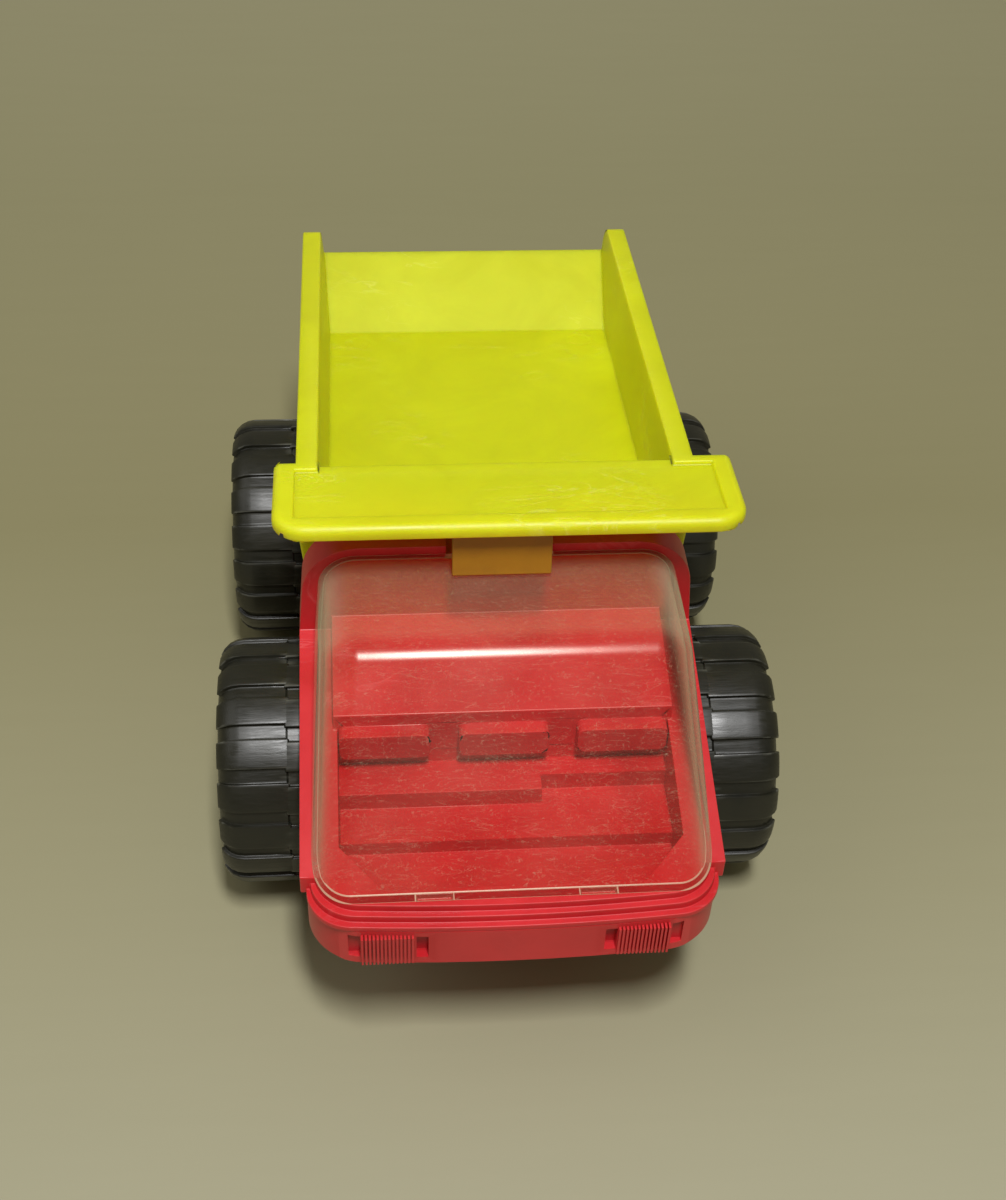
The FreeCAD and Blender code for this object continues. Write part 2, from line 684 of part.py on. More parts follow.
def dome_block(label, wall, outline):
    """The dome's outside for a wall of nothing, or its core for the real wall."""
    block = new_body(label)
    half, top_half = "(dome_half - %s)" % wall, "(dome_top_half - %s)" % wall
    pad(block, "block", polygon(block, "outline", "YZ_Plane", outline), "2 * " + half, both=True)
    for name, sign in (("l", "-"), ("r", "")):
        shave = [
            (sign + half, ledge_top + " - 6"),
            (sign + top_half, "roof_high"),
            (sign + top_half, "roof_high + 5"),
            (sign + "(dome_half + 5)", "roof_high + 5"),
            (sign + "(dome_half + 5)", ledge_top + " - 6"),
        ]
        pocket(block, "draft_" + name, polygon(block, "shave_" + name, "XZ_Plane", shave),
               "-4 * front_y", both=True)
    fillet(block, "bend", "dome_bend - " + wall,
           lambda e, m: near(m.x, 0.0) and m.z > number("roof_high - 3")
           and m.y < number("roof_front + 3"))
    fillet(block, "rounding", "dome_corner - " + wall,
           lambda e, m: abs(m.x) > number(top_half) - 2 and m.z > sill_at(m.y) + 0.5
           and m.y < number("bulkhead_y") - 0.5)
    return block


outline = [
    ("screen_foot_y", ledge_top),
    ("sill_knee", ledge_top),
    ("bulkhead_y", "sill_rear"),
    ("bulkhead_y", "roof_high"),
    ("roof_front", "roof_high"),
]
foot = "(screen_foot_y + 1.6 * dome_wall)"
core_outline = [
    (foot + " - 5 * (roof_front - screen_foot_y) / (roof_high - " + ledge_top + ")",
     ledge_top + " - 5"),
    ("bulkhead_y + 5", ledge_top + " - 5"),
    ("bulkhead_y + 5", "roof_high - dome_wall"),
    (foot + " + (roof_front - screen_foot_y) * (roof_high - dome_wall - " + ledge_top
     + ") / (roof_high - " + ledge_top + ")", "roof_high - dome_wall"),
]
dome_skin = dome_block("dome_skin", "0", outline)
dome_core = dome_block("dome_core", "dome_wall", core_outline)
dome_shell = doc.addObject("Part::Cut", "dome_shell")
dome_shell.Base = dome_skin
dome_shell.Tool = dome_core
dome_pieces = [dome_shell]
for name, start in (("l", "-tab_outer"), ("r", "tab_inner")):
    tab = doc.addObject("Part::Box", "dome_tab_" + name)
    bind(tab, "Length", "tab_outer - tab_inner")
    bind(tab, "Width", "dome_wall")
    bind(tab, "Height", "tab_drop + 0.2")
    bind(tab, "Placement.Base.x", start)
    bind(tab, "Placement.Base.y", "screen_foot_y + 0.4")
    bind(tab, "Placement.Base.z", ledge_top + " - tab_drop")
    dome_pieces.append(tab)
dome = doc.addObject("Part::MultiFuse", "cab_dome")
dome.Label = "cab_dome"
dome.Shapes = dome_pieces
nodes.append(dome)

# Dump body: open tray with a tail ramp, an outward rim, a canopy, a skirt, a tongue and lugs.
bed = new_body("dump_body")
nodes.append(bed)
floor_low = "(bed_floor - bed_wall)"
ramp_low = "(ramp_high - 1.3 * bed_wall)"
tray = [
    ("-(bed_half + bed_wall)", floor_low),
    ("bed_half + bed_wall", floor_low),
    ("bed_half + wall_draft + bed_wall", "rim_high"),
    ("-(bed_half + wall_draft + bed_wall)", "rim_high"),
]
pad(bed, "tray", polygon(bed, "section", "XZ_Plane", tray, "-bed_front"),
    "bed_rear - bed_front", back=True)
beneath = [
    ("bed_crease + 0.4 * bed_wall", floor_low),
    ("bed_rear", ramp_low),
    ("bed_rear + 1", ramp_low),
    ("bed_rear + 1", floor_low + " - 1"),
    ("bed_crease + 0.4 * bed_wall", floor_low + " - 1"),
]
pocket(bed, "beneath_cut", polygon(bed, "beneath", "YZ_Plane", beneath),
       "2 * (bed_half + bed_wall) + 4", both=True)
rim = [
    ("bed_front", "rim_high"),
    ("bed_rear", "rim_high"),
    ("bed_rear", ramp_low),
    ("bed_rear - rim_thick", ramp_low),
    ("bed_rear - rim_thick", "rim_high - rim_thick"),
    ("bed_front", "rim_high - rim_thick"),
]
pad(bed, "flange", polygon(bed, "rim", "YZ_Plane", rim), "2 * rim_half", both=True)
fillet(bed, "rim_corner", "rim_round",
       lambda e, m: along(e, V(1, 0, 0)) and near(m.y, number("bed_rear"))
       and near(m.z, number("rim_high")))
skirt = [
    ("-skirt_half", "skirt_low"),
    ("-rim_half", "(rim_high + skirt_low) / 2"),
    ("-rim_half", "rim_high"),
    ("rim_half", "rim_high"),
    ("rim_half", "(rim_high + skirt_low) / 2"),
    ("skirt_half", "skirt_low"),
]
pad(bed, "front_wall", polygon(bed, "skirt", "XZ_Plane", skirt, "-bed_front"),
    "bed_wall", back=True)
lip_low = "(rim_high - canopy_recess - canopy_skin - lip_drop)"
roof = [
    ("canopy_shift - canopy_half", "bed_front - canopy_reach"),
    ("canopy_shift + canopy_half", "bed_front - canopy_reach"),
    ("canopy_shift + canopy_half", "bed_front + bed_wall"),
    ("canopy_shift - canopy_half", "bed_front + bed_wall"),
]
pad(bed, "canopy", polygon(bed, "roof", "XY_Plane", roof, lip_low), "rim_high - " + lip_low)
fillet(bed, "canopy_corners", "canopy_corner",
       lambda e, m: along(e, V(0, 0, 1)) and near(m.y, number("bed_front - canopy_reach"))
       and near(abs(m.x - number("canopy_shift")), number("canopy_half")))
fillet(bed, "canopy_nose", "canopy_border / 2.5",
       lambda e, m: near(m.z, number("rim_high")) and m.y < number("bed_front - 2")
       and (near(m.y, number("bed_front - canopy_reach"))
            or abs(m.x - number("canopy_shift")) > number("canopy_half - 2")))
cavity = [
    ("-bed_half", "bed_floor"),
    ("bed_half", "bed_floor"),
    ("bed_half + wall_draft", "rim_high"),
    ("bed_half + wall_draft", "rim_high + 5"),
    ("-(bed_half + wall_draft)", "rim_high + 5"),
    ("-(bed_half + wall_draft)", "rim_high"),
]
pocket(bed, "cavity_cut", polygon(bed, "cavity", "XZ_Plane", cavity, "-(bed_front + bed_wall)"),
       "bed_rear - bed_front - bed_wall + 5")
ramp = [
    ("bed_crease", "bed_floor"),
    ("bed_rear", "ramp_high"),
    ("bed_rear", ramp_low),
    ("bed_crease + 0.4 * bed_wall", floor_low),
]
pad(bed, "ramp", polygon(bed, "ramp_line", "YZ_Plane", ramp), "2 * bed_half + 1.5 * bed_wall",
    both=True)
recess = [
    ("canopy_shift - canopy_half + canopy_border", "bed_front - canopy_reach + canopy_border"),
    ("canopy_shift + canopy_half - canopy_border", "bed_front - canopy_reach + canopy_border"),
    ("canopy_shift + canopy_half - canopy_border", "bed_front - 0.5"),
    ("bed_half + wall_draft", "bed_front - 0.5"),
    ("bed_half + wall_draft", "bed_front + bed_wall + 1"),
    ("-(bed_half + wall_draft)", "bed_front + bed_wall + 1"),
    ("-(bed_half + wall_draft)", "bed_front - 0.5"),
    ("canopy_shift - canopy_half + canopy_border", "bed_front - 0.5"),
]
pocket(bed, "recess_cut", polygon(bed, "recess", "XY_Plane", recess,
                                  "rim_high - canopy_recess"), "canopy_recess + 1", back=True)
under = [
    ("canopy_shift - canopy_half + lip_wall", "bed_front - canopy_reach + lip_wall"),
    ("canopy_shift + canopy_half - lip_wall", "bed_front - canopy_reach + lip_wall"),
    ("canopy_shift + canopy_half - lip_wall", "bed_front"),
    ("canopy_shift - canopy_half + lip_wall", "bed_front"),
]
pocket(bed, "under_cut", polygon(bed, "under", "XY_Plane", under, lip_low + " - 1"),
       "lip_drop + 1", back=True)
tongue = [
    ("bed_front - canopy_reach + tongue_back", "rim_high - canopy_recess - 0.3"),
    ("bed_front - canopy_reach + tongue_back - tongue_lean", "tongue_low"),
    ("bed_front - canopy_reach + tongue_back - tongue_lean + tongue_thick", "tongue_low"),
    ("bed_front - canopy_reach + tongue_back + tongue_thick", "rim_high - canopy_recess - 0.3"),
]
pad(bed, "tongue_pad", polygon(bed, "tongue", "YZ_Plane", tongue), "2 * tongue_half", both=True)
for name, start in (("l", "-lug_half"), ("r", "lug_half - lug_width")):
    lug = [
        ("-lug_foot", floor_low + " + bed_wall / 2"),
        ("-lug_radius", "0"),
        ("lug_radius", "0"),
        ("bed_crease", floor_low + " + bed_wall / 2"),
    ]
    pad(bed, "lug_pad_" + name, polygon(bed, "lug_" + name, "YZ_Plane", lug, start), "lug_width")
    eye = circle(bed, "eye_" + name, "YZ_Plane", ("0", "0"), "lug_radius", start)
    pad(bed, "eye_pad_" + name, eye, "lug_width")
bore = circle(bed, "rod_hole", "YZ_Plane", ("0", "0"), "rod_dia / 2 + bearing_gap")
pocket(bed, "rod_hole_cut", bore, "4 * lug_half", both=True)
bed.Placement = FreeCAD.Placement(V(0, 0, 0), FreeCAD.Rotation(V(1, 0, 0), -size["bed_lean"]))
bind(bed, "Placement.Base.y", "hinge_y")
bind(bed, "Placement.Base.z", "hinge_z")
bind(bed, "Placement.Rotation.Angle", "-bed_lean")

# Hinge rod and the push-on caps at its ends.
rod = doc.addObject("Part::Cylinder", "hinge_rod")
rod.Label = "hinge_rod"
bind(rod, "Radius", "rod_dia / 2")
bind(rod, "Height", "2 * (frame_half + rod_cap_length)")
rod.Placement = FreeCAD.Placement(V(0, 0, 0), FreeCAD.Rotation(V(0, 1, 0), 90))
bind(rod, "Placement.Base.x", "-(frame_half + rod_cap_length)")
bind(rod, "Placement.Base.y", "hinge_y")
bind(rod, "Placement.Base.z", "hinge_z")
nodes.append(rod)
for name, start in (("l", "-(frame_half + rod_cap_length)"), ("r", "frame_half")):
    cap = tube("rod_cap_" + name, "rod_cap_radius", "rod_dia / 2", "rod_cap_length", start)
    bind(cap, "Placement.Base.y", "hinge_y")
    bind(cap, "Placement.Base.z", "hinge_z")
    nodes.append(cap)

# Screws that hold the cab tub down on the frame.
for name, sign in (("l", "-"), ("r", "")):
    head = doc.addObject("Part::Cylinder", "screw_head_" + name)
    bind(head, "Radius", "screw_head")
    bind(head, "Height", "screw_head_high")
    shank = doc.addObject("Part::Cylinder", "screw_shank_" + name)
    bind(shank, "Radius", "screw_shank")
    bind(shank, "Height", "screw_head_high + frame_wall + screw_length")
    screw = doc.addObject("Part::MultiFuse", "cab_screw_" + name)
    screw.Shapes = [head, shank]
    screw.Label = "cab_screw_" + name
    bind(screw, "Placement.Base.x", sign + "boss_x")
    bind(screw, "Placement.Base.y", "boss_y")
    bind(screw, "Placement.Base.z", "cab_deck - frame_wall - screw_head_high")
    nodes.append(screw)


def shell_body(label, points):
    """One wheel moulding turned about X, with the lateral grooves of its tread."""
    body = new_body(label)
    profile = polygon(body, "profile", "XZ_Plane", points)
    turned = body.newObject("PartDesign::Revolution", label + "_turned")
    turned.Profile = profile
    turned.ReferenceAxis = (profile, ["H_Axis"])
    turned.Angle = 360
    body.Tip = turned
    doc.recompute()
    groove = polygon(body, "groove", "YZ_Plane", [
        ("-tread_groove / 2", "wheel_radius - tread_depth"),
        ("tread_groove / 2", "wheel_radius - tread_depth"),
        ("tread_groove / 2", "wheel_radius + 2"),
        ("-tread_groove / 2", "wheel_radius + 2"),
    ])
    cut = pocket(body, "groove_cut", groove, "4 * outer_shell", both=True)
    ring = body.newObject("PartDesign::PolarPattern", label + "_tread")
    ring.Originals = [cut]
    ring.Axis = ([f for f in body.Origin.OriginFeatures if f.Role == "X_Axis"][0], [""])
    ring.Angle = 360
    bind(ring, "Occurrences", "tread_count")
    body.Tip = ring
    doc.recompute()
    return body


bore_radius = "axle_dia / 2"
outer_points = [
    ("0", bore_radius),
    ("outer_shell - hub_recess", bore_radius),
    ("outer_shell - hub_recess", "hub_radius"),
    ("outer_shell - disc_recess", "hub_radius"),
    ("outer_shell - disc_recess", "disc_radius"),
    ("outer_shell - 0.5", "disc_radius + 1.5"),
    ("outer_shell", "disc_radius + 2.5"),
    ("outer_shell", "wheel_radius - shoulder_drop"),
    ("outer_shell - shoulder_width * 0.3", "wheel_radius - shoulder_drop * 0.3"),
    ("outer_shell - shoulder_width", "wheel_radius"),
    ("0", "wheel_radius"),
    ("0", "wheel_radius - tread_wall"),
    ("outer_shell - disc_recess - disc_wall", "wheel_radius - tread_wall"),
    ("outer_shell - disc_recess - disc_wall", "hub_radius"),
    ("0", "hub_radius"),
]
inner_points = [
    ("0", bore_radius),
    ("inner_shell", bore_radius),
    ("inner_shell", "hub_radius"),
    ("inner_shell - disc_wall", "hub_radius"),
    ("inner_shell - disc_wall", "wheel_radius - shoulder_drop - 2.5"),
    ("inner_shell", "wheel_radius - shoulder_drop - 1"),
    ("inner_shell", "wheel_radius - shoulder_drop * 0.5"),
    ("inner_shell - shoulder_width * 0.5", "wheel_radius"),
    ("0", "wheel_radius"),
    ("0", "wheel_radius - tread_wall"),
    ("inner_shell - 2 * disc_wall", "wheel_radius - tread_wall"),
    ("inner_shell - 2 * disc_wall", "hub_radius"),
    ("0", "hub_radius"),
]
outer_master = shell_body("tyre_fl_outer", outer_points)
inner_master = shell_body("tyre_fl_inner", inner_points)
corners = (
    ("fl", -1, "front_axle_y"),
    ("fr", 1, "front_axle_y"),
    ("rl", -1, "front_axle_y + wheelbase"),
    ("rr", 1, "front_axle_y + wheelbase"),
)
for name, hand, spot in corners:
    if name == "fl":
        outer, inner = outer_master, inner_master
    else:
        outer = doc.addObject("Part::Feature", "tyre_%s_outer" % name)
        outer.Label = "tyre_%s_outer" % name
        outer.Shape = outer_master.Tip.Shape.copy()
        inner = doc.addObject("Part::Feature", "tyre_%s_inner" % name)
        inner.Label = "tyre_%s_inner" % name
        inner.Shape = inner_master.Tip.Shape.copy()
    seam = "track_half - outer_shell"
    turn = FreeCAD.Rotation(V(0, 0, 1), 180 if hand < 0 else 0)
    back_turn = FreeCAD.Rotation(V(0, 0, 1), 0 if hand < 0 else 180)
    twist = FreeCAD.Rotation(V(1, 0, 0), size["shell_twist"])
    outer.Placement = FreeCAD.Placement(V(0, 0, 0), turn)
    inner.Placement = FreeCAD.Placement(V(0, 0, 0), back_turn.multiply(twist))
    for moulding in (outer, inner):
        bind(moulding, "Placement.Base.x", "%d * (%s)" % (hand, seam))
        bind(moulding, "Placement.Base.y", spot)
        bind(moulding, "Placement.Base.z", "wheel_radius")
        nodes.append(moulding)
    hub_face = "(track_half - hub_recess)"
    cap_start = hub_face if hand > 0 else "-%s - cap_length" % hub_face
    inner_face = "(track_half - outer_shell - inner_shell)"
    sleeve_long = "(%s - frame_half - side_gap)" % inner_face
    sleeve_start = "frame_half + side_gap" if hand > 0 else "-" + inner_face
    cap = tube("axle_cap_" + name, "cap_radius", bore_radius, "cap_length", cap_start)
    sleeve = tube("spacer_" + name, "axle_dia / 2 + sleeve_wall", bore_radius, sleeve_long,
                  sleeve_start)
    for ring in (cap, sleeve):
        bind(ring, "Placement.Base.y", spot)
        bind(ring, "Placement.Base.z", "wheel_radius")
        nodes.append(ring)
for name, spot in (("front_axle", "front_axle_y"), ("rear_axle", "front_axle_y + wheelbase")):
    axle = doc.addObject("Part::Cylinder", name)
    axle.Label = name
    bind(axle, "Radius", bore_radius)
    bind(axle, "Height", "2 * (track_half - hub_recess + cap_length)")
    axle.Placement = FreeCAD.Placement(V(0, 0, 0), FreeCAD.Rotation(V(0, 1, 0), 90))
    bind(axle, "Placement.Base.x", "-(track_half - hub_recess + cap_length)")
    bind(axle, "Placement.Base.y", spot)
    bind(axle, "Placement.Base.z", "wheel_radius")
    nodes.append(axle)

doc.removeObject("probe")
doc.recompute()
for thing in doc.Objects:
    if "Invalid" in thing.State or "Error" in thing.State:
        raise RuntimeError(thing.Name + " did not compute")
os.makedirs("parts", exist_ok=True)
for node in nodes:
    shape = node.Shape
    if shape.isNull() or not shape.isValid() or len(shape.Solids) != 1:
        raise RuntimeError(node.Label + " is not one valid solid")
    box = shape.BoundBox
    print("%-16s %9.1f mm3  X %.1f %.1f  Y %.1f %.1f  Z %.1f %.1f" % (
        node.Label, shape.Volume, box.XMin, box.XMax, box.YMin, box.YMax, box.ZMin, box.ZMax))
    shape.exportStep("parts/%s.step" % node.Label)
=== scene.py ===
import math

import bmesh
import bpy
from mathutils import Matrix, Vector


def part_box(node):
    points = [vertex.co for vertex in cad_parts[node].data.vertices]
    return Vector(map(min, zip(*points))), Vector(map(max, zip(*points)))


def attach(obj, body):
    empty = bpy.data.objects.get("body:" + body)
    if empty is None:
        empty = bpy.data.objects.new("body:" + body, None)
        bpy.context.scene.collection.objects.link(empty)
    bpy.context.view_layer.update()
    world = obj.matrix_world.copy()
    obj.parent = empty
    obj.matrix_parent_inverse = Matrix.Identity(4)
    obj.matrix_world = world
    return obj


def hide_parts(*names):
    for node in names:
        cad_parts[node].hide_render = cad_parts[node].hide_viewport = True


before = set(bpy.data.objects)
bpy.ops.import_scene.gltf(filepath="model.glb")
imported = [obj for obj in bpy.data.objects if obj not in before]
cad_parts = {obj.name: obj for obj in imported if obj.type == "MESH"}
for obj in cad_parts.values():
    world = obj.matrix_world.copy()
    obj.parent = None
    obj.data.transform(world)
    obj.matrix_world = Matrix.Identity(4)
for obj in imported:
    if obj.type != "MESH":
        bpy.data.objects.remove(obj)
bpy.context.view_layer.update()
bpy.ops.object.select_all(action="DESELECT")
mm = 0.001

def focus(piece):
    bpy.ops.object.select_all(action="DESELECT")
    piece.select_set(True)
    bpy.context.view_layer.objects.active = piece


def pickFaces(piece, wanted):
    # in edit mode: selects the faces whose middle and normal pass the test
    bpy.ops.mesh.select_mode(type="FACE")
    bpy.ops.mesh.select_all(action="DESELECT")
    mesh = bmesh.from_edit_mesh(piece.data)
    for face in mesh.faces:
        face.select_set(bool(wanted(face.calc_center_median(), face.normal)))
    bmesh.update_edit_mesh(piece.data)


def pickSharp(piece, angle, wanted):
    # in edit mode: selects the corners sharper than the angle that pass the test
    bpy.ops.mesh.select_mode(type="EDGE")
    bpy.ops.mesh.select_all(action="DESELECT")
    mesh = bmesh.from_edit_mesh(piece.data)
    for edge in mesh.edges:
        if len(edge.link_faces) == 2 and edge.calc_face_angle(0) > math.radians(angle):
            if wanted((edge.verts[0].co + edge.verts[1].co) / 2):
                edge.select_set(True)
    bmesh.update_edit_mesh(piece.data)


def smoothOff(piece, angle):
    focus(piece)
    bpy.ops.object.shade_smooth_by_angle(angle=math.radians(angle))
    weighted = piece.modifiers.new("evenNormals", "WEIGHTED_NORMAL")
    weighted.keep_sharp = True
    bpy.ops.object.modifier_apply(modifier=weighted.name)


def settle(piece, body, slot, material, *nodes):
    piece.data.materials.clear()
    piece.data.materials.append(material)
    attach(piece, body)
    if nodes:
        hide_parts(*nodes)


def mouldedCopy(name, node, look):
    # the CAD solid with its corners rounded as a mould leaves them
    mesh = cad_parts[node].data.copy()
    piece = bpy.data.objects.new(name, mesh)
    bpy.context.scene.collection.objects.link(piece)
    focus(piece)
    if mesh.has_custom_normals:
        bpy.ops.mesh.customdata_custom_splitnormals_clear()
    bpy.ops.object.mode_set(mode="EDIT")
    bpy.ops.mesh.select_all(action="SELECT")
    bpy.ops.mesh.remove_doubles(threshold=0.000002)
    bpy.ops.mesh.tris_convert_to_quads(face_threshold=math.radians(0.3),
                                       shape_threshold=math.radians(120))
    for edge, steps, wanted in look["rounding"]:
        pickSharp(piece, look["corner"], wanted)
        bpy.ops.mesh.bevel(offset=edge * mm, segments=steps, profile=0.5,
                           affect="EDGES", clamp_overlap=False)
    bpy.ops.object.mode_set(mode="OBJECT")
    smoothOff(piece, look["smooth"])
    return piece


def turned(name, profile, steps):
    # a profile of (along X, radius) points in mm, spun about the X axis
    bpy.ops.object.select_all(action="DESELECT")
    bpy.ops.mesh.primitive_plane_add(size=mm, location=(0, 0, 0))
    piece = bpy.context.object
    piece.name = name
    bpy.ops.object.mode_set(mode="EDIT")
    bpy.ops.mesh.select_mode(type="VERT")
    bpy.ops.mesh.select_all(action="SELECT")
    bpy.ops.mesh.merge(type="CENTER")
    bpy.ops.transform.translate(value=(profile[0][0] * mm, 0, profile[0][1] * mm))
    for (x0, r0), (x1, r1) in zip(profile, profile[1:]):
        bpy.ops.mesh.extrude_region_move(
            TRANSFORM_OT_translate={"value": ((x1 - x0) * mm, 0, (r1 - r0) * mm)})
    bpy.ops.mesh.select_all(action="SELECT")
    bpy.ops.mesh.spin(steps=steps, angle=2 * math.pi, center=(0, 0, 0), axis=(1, 0, 0))
    bpy.ops.mesh.select_all(action="SELECT")
    bpy.ops.mesh.remove_doubles(threshold=0.000003)
    bpy.ops.mesh.normals_make_consistent(inside=False)
    bpy.ops.object.mode_set(mode="OBJECT")
    return piece


def placedCopy(source, name, place):
    piece = bpy.data.objects.new(name, source.data.copy())
    piece.data.transform(place)
    bpy.context.scene.collection.objects.link(piece)
    return piece

def linear(hexColour):
    parts = [int(hexColour[i:i + 2], 16) / 255 for i in (1, 3, 5)]
    return [p / 12.92 if p <= 0.04045 else ((p + 0.055) / 1.055) ** 2.4 for p in parts] + [1.0]


def addNode(tree, kind, settings=None, links=None):
    node = tree.nodes.new(kind)
    for key, value in (settings or {}).items():
        if key == "stops":
            ramp = node.color_ramp
            ramp.elements[0].position, ramp.elements[0].color = value[0]
            ramp.elements[1].position, ramp.elements[1].color = value[-1]
            for place, colour in value[1:-1]:
                ramp.elements.new(place).color = colour
        elif isinstance(key, int) or key in node.inputs:
            node.inputs[key].default_value = value
        else:
            setattr(node, key, value)
    for key, (source, output) in (links or {}).items():
        tree.links.new(source.outputs[output], node.inputs[key])
    return node


def newMaterial(name):
    material = bpy.data.materials.new(name)
    material.use_nodes = True
    tree = material.node_tree
    shader = tree.nodes["Principled BSDF"]
    coords = addNode(tree, "ShaderNodeTexCoord")
    return material, tree, shader, coords


def grey(level):
    return (level, level, level, 1)


def mouldedPolyethylene(name, look):
    # Injection moulded polyethylene: waxy, soft gloss, a little light sinks in,
    # the colour drifts slightly where the melt flowed, and handling leaves fine scuffs.
    material, tree, shader, coords = newMaterial(name)
    flow = addNode(tree, "ShaderNodeTexNoise",
                   {"Scale": 1000 / look["flowSize"], "Detail": 5, "Roughness": 0.62,
                    "Distortion": 0.6}, {"Vector": (coords, "Object")})
    tone = addNode(tree, "ShaderNodeValToRGB",
                   {"stops": [(0.30, linear(look["dark"])), (0.52, linear(look["colour"])),
                              (0.74, linear(look["light"]))]}, {"Fac": (flow, "Fac")})
    # scuffs: thin bent lines from the middle of a stretched noise
    turn = addNode(tree, "ShaderNodeMapping",
                   {"Rotation": (0.3, 0.2, 0.5), "Scale": (1, look["scuffStretch"], 1)},
                   {"Vector": (coords, "Object")})
    scuffNoise = addNode(tree, "ShaderNodeTexNoise",
                         {"Scale": 1000 / look["scuffSize"], "Detail": 3, "Distortion": 1.2},
                         {"Vector": (turn, "Vector")})
    scuff = addNode(tree, "ShaderNodeValToRGB",
                    {"stops": [(0.485, grey(0)), (0.5, grey(1)), (0.515, grey(0))]},
                    {"Fac": (scuffNoise, "Fac")})
    patchNoise = addNode(tree, "ShaderNodeTexNoise",
                         {"Scale": 1000 / look["patchSize"], "Detail": 2},
                         {"Vector": (coords, "Object")})
    patch = addNode(tree, "ShaderNodeMapRange",
                    {"From Min": 0.5, "From Max": 0.62}, {"Value": (patchNoise, "Fac")})
    scuffed = addNode(tree, "ShaderNodeMath", {"operation": "MULTIPLY"},
                      {0: (scuff, "Color"), 1: (patch, "Result")})
    scuffShare = addNode(tree, "ShaderNodeMath", {"operation": "MULTIPLY", 1: look["scuff"]},
                         {0: (scuffed, "Value")})
    worn = addNode(tree, "ShaderNodeMix",
                   {"data_type": "RGBA", 7: linear(look["scuffColour"])},
                   {0: (scuffShare, "Value"), 6: (tone, "Color")})
    # rubbed corners are a touch paler
    shape = addNode(tree, "ShaderNodeNewGeometry")
    corner = addNode(tree, "ShaderNodeMapRange",
                     {"From Min": 0.52, "From Max": 0.60, "To Max": look["cornerRub"]},
                     {"Value": (shape, "Pointiness")})
    rubbed = addNode(tree, "ShaderNodeMix",
                     {"data_type": "RGBA", 7: linear(look["cornerColour"])},
                     {0: (corner, "Result"), 6: (worn, 2)})
    tree.links.new(rubbed.outputs[2], shader.inputs["Base Color"])
    sheen = addNode(tree, "ShaderNodeMapRange",
                    {"From Min": 0.35, "From Max": 0.7, "To Min": look["smooth"],
                     "To Max": look["rough"]}, {"Value": (flow, "Fac")})
    dull = addNode(tree, "ShaderNodeMath", {"operation": "MULTIPLY_ADD", 1: 0.25},
                   {0: (scuffed, "Value"), 2: (sheen, "Result")})
    tree.links.new(dull.outputs["Value"], shader.inputs["Roughness"])
    # mould texture of about half a millimetre, and a slow sink ripple
    peel = addNode(tree, "ShaderNodeTexNoise",
                   {"Scale": 1000 / look["peelSize"], "Detail": 2},
                   {"Vector": (coords, "Object")})
    peelBump = addNode(tree, "ShaderNodeBump",
                       {"Strength": look["peel"], "Distance": 0.0001}, {"Height": (peel, "Fac")})
    sink = addNode(tree, "ShaderNodeTexNoise", {"Scale": 1000 / 14, "Detail": 1},
                   {"Vector": (coords, "Object")})
    sinkBump = addNode(tree, "ShaderNodeBump",
                       {"Strength": look["sink"], "Distance": 0.0006},
                       {"Height": (sink, "Fac"), "Normal": (peelBump, "Normal")})
    scuffBump = addNode(tree, "ShaderNodeBump",
                        {"Strength": look["scuff"] * 0.5, "Distance": 0.0001, "invert": True},
                        {"Height": (scuffed, "Value"), "Normal": (sinkBump, "Normal")})
    tree.links.new(scuffBump.outputs["Normal"], shader.inputs["Normal"])
    shader.inputs["IOR"].default_value = 1.51
    shader.inputs["Subsurface Weight"].default_value = look["depth"]
    shader.inputs["Subsurface Radius"].default_value = look["bleed"]
    shader.inputs["Subsurface Scale"].default_value = look["bleedSize"]
    return material


redLook = {
    "colour": "#c41f27", "dark": "#b61820", "light": "#ce282f",
    "flowSize": 30, "smooth": 0.34, "rough": 0.46, "peelSize": 0.7, "peel": 0.12, "sink": 0.10,
    "scuffSize": 22, "scuffStretch": 5, "patchSize": 26, "scuff": 0.25,
    "scuffColour": "#e0696a", "cornerRub": 0.35, "cornerColour": "#e0484a",
    "depth": 0.15, "bleed": (1.0, 0.12, 0.06), "bleedSize": 0.003,
}
yellowLook = {
    "colour": "#cccf02", "dark": "#c5c701", "light": "#d3d708",
    "flowSize": 26, "smooth": 0.42, "rough": 0.54, "peelSize": 0.8, "peel": 0.12, "sink": 0.14,
    "scuffSize": 24, "scuffStretch": 4, "patchSize": 30, "scuff": 0.18,
    "scuffColour": "#f0f08a", "cornerRub": 0.30, "cornerColour": "#f0f070",
    "depth": 0.9, "bleed": (1.0, 0.75, 0.04), "bleedSize": 0.008,
}
redPolyethylene = mouldedPolyethylene("redMouldedPolyethylene", redLook)
yellowPolyethylene = mouldedPolyethylene("yellowMouldedPolyethylene", yellowLook)
# the flap over the cab roof is a browner yellow than the rest: painted shade, with red light
# bounced from the cab roof painted in
flapShadeLook = dict(yellowLook, colour="#9c6a04", dark="#8e5e03", light="#a87606",
                scuffColour="#c8a040", cornerColour="#b08a20", depth=0.05)
flapShadePolyethylene = mouldedPolyethylene("yellowPolyethyleneInPaintedShade", flapShadeLook)


